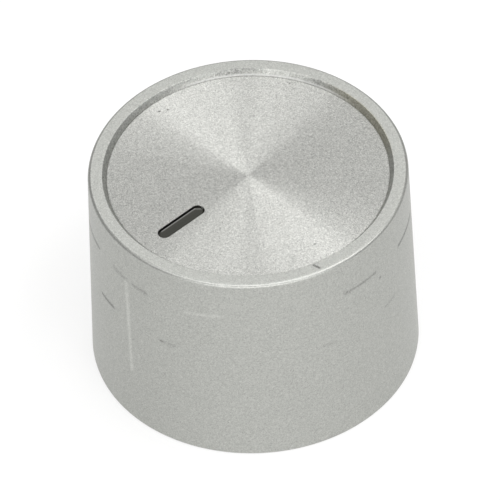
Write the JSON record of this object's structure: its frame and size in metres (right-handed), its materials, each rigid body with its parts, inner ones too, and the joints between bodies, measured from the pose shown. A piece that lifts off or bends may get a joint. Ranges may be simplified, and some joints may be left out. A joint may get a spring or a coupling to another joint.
{
  "type": "oven knob",
  "caption": "Round drafted oven control knob with a satin silver skirt, a recessed spun metal face with a dark radial pointer, and a split boss with a D socket gripped by a spring ring.",
  "frame": {"origin": "on the spindle's axis, in the plane of the rear edge that faces the panel", "axes": "+Z along the spindle's axis, out of the panel and towards the hand; -Y along the pointer and the side of the socket's flat; +X completes a right-handed frame"},
  "size_m": [0.042, 0.042, 0.03],
  "materials": {
    "silver_lacquer": "satin metallic lacquer",
    "spun_metal": "circular spun",
    "dark_plastic": "satin",
    "spring_steel": "rolled strip"
  },
  "bodies": {
    "root": {"knob_body": "silver_lacquer", "face_disc": "spun_metal", "pointer_insert": "dark_plastic", "grip_ring": "spring_steel"}
  },
  "joints": []
}
